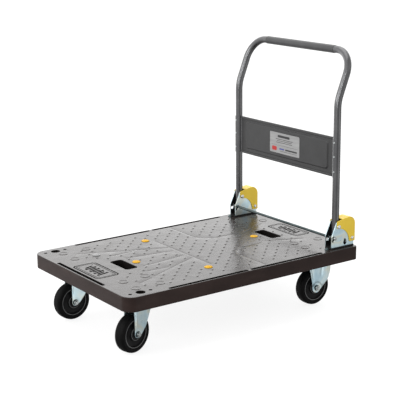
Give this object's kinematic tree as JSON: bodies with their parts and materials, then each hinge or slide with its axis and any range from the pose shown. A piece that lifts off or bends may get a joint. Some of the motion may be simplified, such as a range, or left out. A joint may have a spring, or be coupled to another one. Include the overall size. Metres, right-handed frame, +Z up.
{
  "type": "folding platform cart",
  "caption": "Platform hand cart with a moulded deck, a push handle that folds down onto the deck, a foot operated lock rod, swivel casters at one end and rigid casters at the other.",
  "frame": {"origin": "on the floor, under the centre of the deck", "axes": "+X along the deck towards the push handle, +Y across the deck, +Z up"},
  "size_m": [0.92, 0.595, 0.8831],
  "materials": {
    "deck_plastic": "moulded plastic, dark brown grey, satin top",
    "yellow_plastic": "moulded yellow plastic",
    "grey_plastic": "moulded grey plastic",
    "black_rubber": "black rubber",
    "tyre_rubber": "black rubber tread",
    "wheel_plastic": "black moulded wheel centre",
    "painted_steel": "dark grey metallic paint",
    "grip_vinyl": "grey vinyl sleeve",
    "zinc": "bright zinc plate with a faint blue cast",
    "steel": "bright steel",
    "label": "silver film label"
  },
  "bodies": {
    "root": {"deck": "deck_plastic", "plug_front": "yellow_plastic", "plug_near": "yellow_plastic", "plug_far": "yellow_plastic", "plug_rear": "yellow_plastic", "plug_grey": "grey_plastic", "bracket_pad_near": "black_rubber", "bracket_near": "zinc", "bracket_cover_near": "yellow_plastic", "pivot_bolt_near": "steel", "cover_pin_near": "steel", "foot_bolt_near": "steel", "lock_spring_near": "steel", "swivel_plate_near": "zinc", "rigid_fork_near": "zinc", "axle_bolt_rear_near": "steel", "axle_nut_rear_near": "steel", "wheel_bush_rear_near": "steel", "bracket_pad_far": "black_rubber", "bracket_far": "zinc", "bracket_cover_far": "yellow_plastic", "pivot_bolt_far": "steel", "cover_pin_far": "steel", "foot_bolt_far": "steel", "lock_spring_far": "steel", "swivel_plate_far": "zinc", "rigid_fork_far": "zinc", "axle_bolt_rear_far": "steel", "axle_nut_rear_far": "steel", "wheel_bush_rear_far": "steel"},
    "handle": {"handle_tube": "painted_steel", "grip_sleeve": "grip_vinyl", "handle_panel": "painted_steel", "label_plate": "label"},
    "lock": {"lock_rod": "zinc", "rod_cap_near": "zinc", "rod_cap_far": "zinc"},
    "swivel_near": {"swivel_fork_near": "zinc", "king_pin_near": "steel", "axle_bolt_front_near": "steel", "axle_nut_front_near": "steel", "wheel_bush_front_near": "steel"},
    "wheel_front_near": {"tyre_front_near": "tyre_rubber", "wheel_centre_front_near": "wheel_plastic"},
    "wheel_rear_near": {"tyre_rear_near": "tyre_rubber", "wheel_centre_rear_near": "wheel_plastic"},
    "swivel_far": {"swivel_fork_far": "zinc", "king_pin_far": "steel", "axle_bolt_front_far": "steel", "axle_nut_front_far": "steel", "wheel_bush_front_far": "steel"},
    "wheel_front_far": {"tyre_front_far": "tyre_rubber", "wheel_centre_front_far": "wheel_plastic"},
    "wheel_rear_far": {"tyre_rear_far": "tyre_rubber", "wheel_centre_rear_far": "wheel_plastic"}
  },
  "joints": [
    {"name": "handle_fold", "type": "hinge", "parent": "root", "child": "handle", "pos_m": [0.383, 0, 0.29], "axis": [0, -1, 0], "range_deg": [0, 90]},
    {"name": "lock_press", "type": "slide", "parent": "root", "child": "lock", "axis": [-0.5, 0, -0.866], "range_m": [0, 0.01], "stiffness_N_per_m": 1200, "springref_m": -0.008, "deforming": ["lock_spring_near", "lock_spring_far"]},
    {"name": "swivel_near", "type": "hinge", "parent": "root", "child": "swivel_near", "pos_m": [-0.342, -0.184, 0.151], "axis": [0, 0, 1], "continuous": true},
    {"name": "wheel_spin_front_near", "type": "hinge", "parent": "swivel_near", "child": "wheel_front_near", "pos_m": [-0.38277, -0.19409, 0.0625], "axis": [-0.2402, 0.9707, 0], "continuous": true},
    {"name": "wheel_spin_rear_near", "type": "hinge", "parent": "root", "child": "wheel_rear_near", "pos_m": [0.355, -0.184, 0.0625], "axis": [0, 1, 0], "continuous": true},
    {"name": "swivel_far", "type": "hinge", "parent": "root", "child": "swivel_far", "pos_m": [-0.342, 0.184, 0.151], "axis": [0, 0, 1], "continuous": true},
    {"name": "wheel_spin_front_far", "type": "hinge", "parent": "swivel_far", "child": "wheel_front_far", "pos_m": [-0.38395, 0.18195, 0.0625], "axis": [-0.0489, 0.9988, 0], "continuous": true},
    {"name": "wheel_spin_rear_far", "type": "hinge", "parent": "root", "child": "wheel_rear_far", "pos_m": [0.355, 0.184, 0.0625], "axis": [0, 1, 0], "continuous": true}
  ]
}
